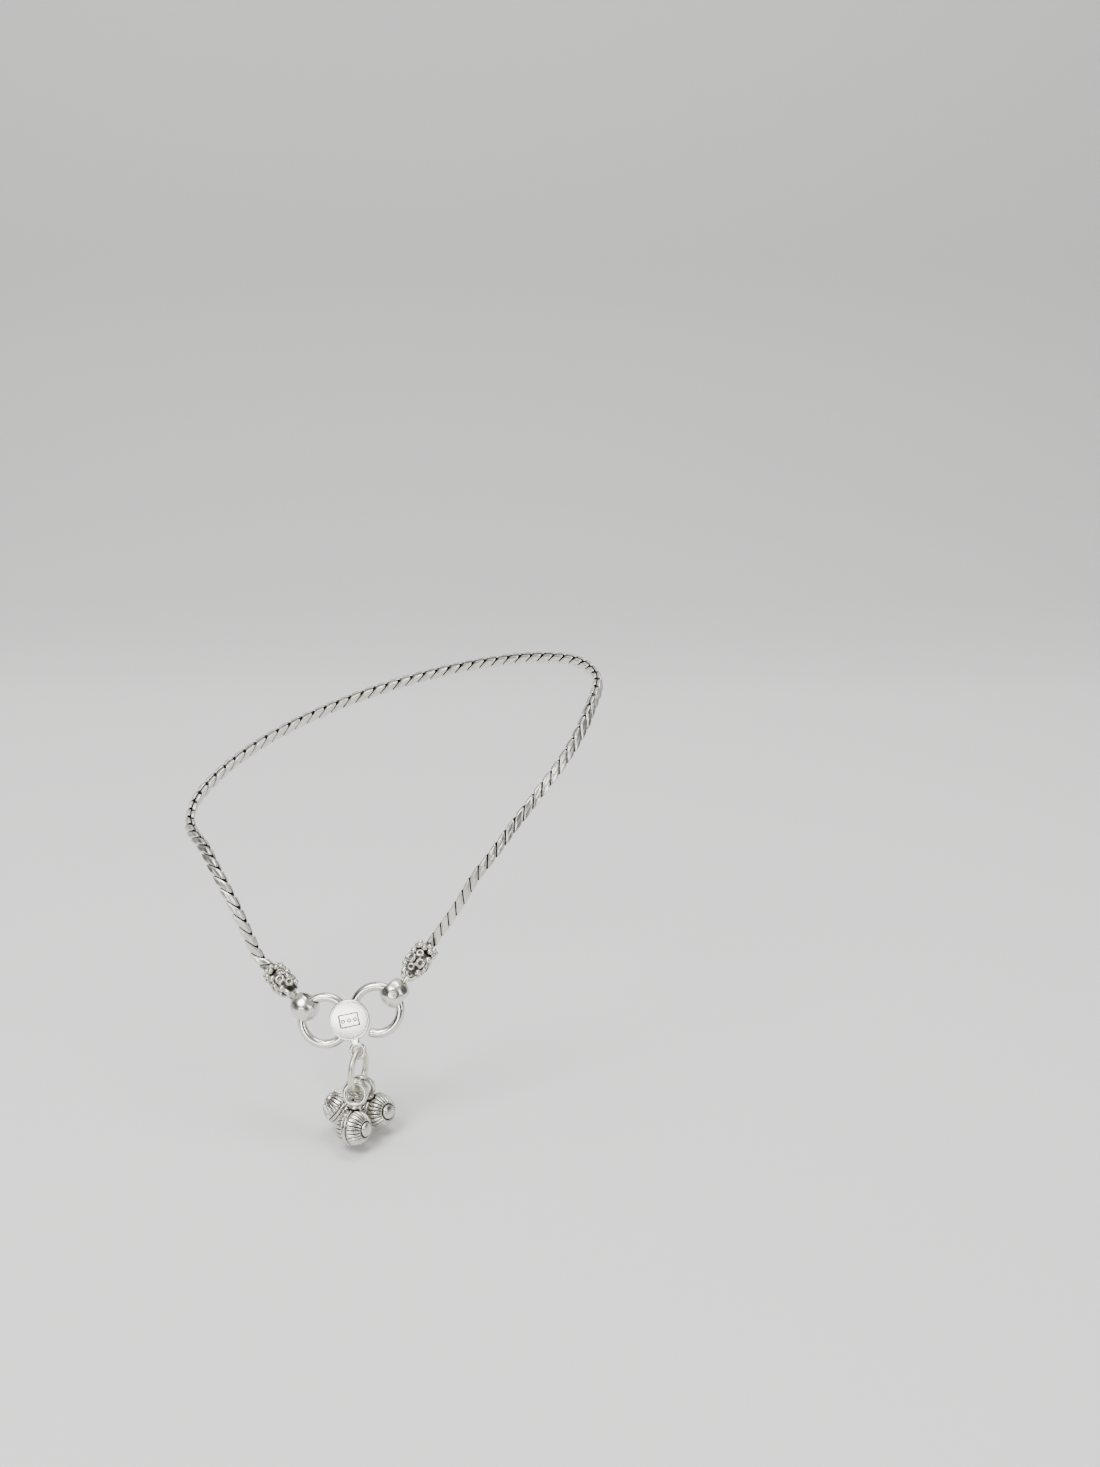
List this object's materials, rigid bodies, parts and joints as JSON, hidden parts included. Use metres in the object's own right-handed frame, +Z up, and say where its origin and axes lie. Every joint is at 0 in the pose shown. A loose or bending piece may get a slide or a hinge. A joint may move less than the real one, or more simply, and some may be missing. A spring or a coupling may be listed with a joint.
{
  "type": "payal anklet",
  "caption": "Silver payal anklet: a flat-filed curb chain between studded caps and hammered beads on a ring clasp centre, with a cluster of fluted ball bells hanging from a jump ring.",
  "frame": {"origin": "middle of the hollow that the ankle fills", "axes": "+Z up the leg as worn, +X towards the toes, -Y towards the clasp side that faces the viewer"},
  "size_m": [0.0916, 0.0762, 0.0892],
  "materials": {
    "polished_silver": "polished silver with fine scratches, slightly warm",
    "oxidised_silver": "bright silver on the high parts, blackened by oxide in the recesses"
  },
  "bodies": {
    "band": {"chain": "oxidised_silver", "clasp_centre": "polished_silver", "bead_left": "polished_silver", "bead_right": "polished_silver", "cap_left": "oxidised_silver", "cap_right": "oxidised_silver"},
    "drop": {"drop_ring": "polished_silver"},
    "bells": {"bell_front": "oxidised_silver", "bell_left": "oxidised_silver", "bell_right": "oxidised_silver"}
  },
  "joints": [
    {"name": "drop_swing", "type": "hinge", "parent": "band", "child": "drop", "pos_m": [-0.00597, -0.03582, -0.05133], "axis": [0.9613, -0.2756, 0], "range_deg": [-45, 20]},
    {"name": "bells_swing", "type": "hinge", "parent": "drop", "child": "bells", "pos_m": [-0.00597, -0.03582, -0.05798], "axis": [0.2756, 0.9613, 0], "range_deg": [-35, 35]}
  ]
}
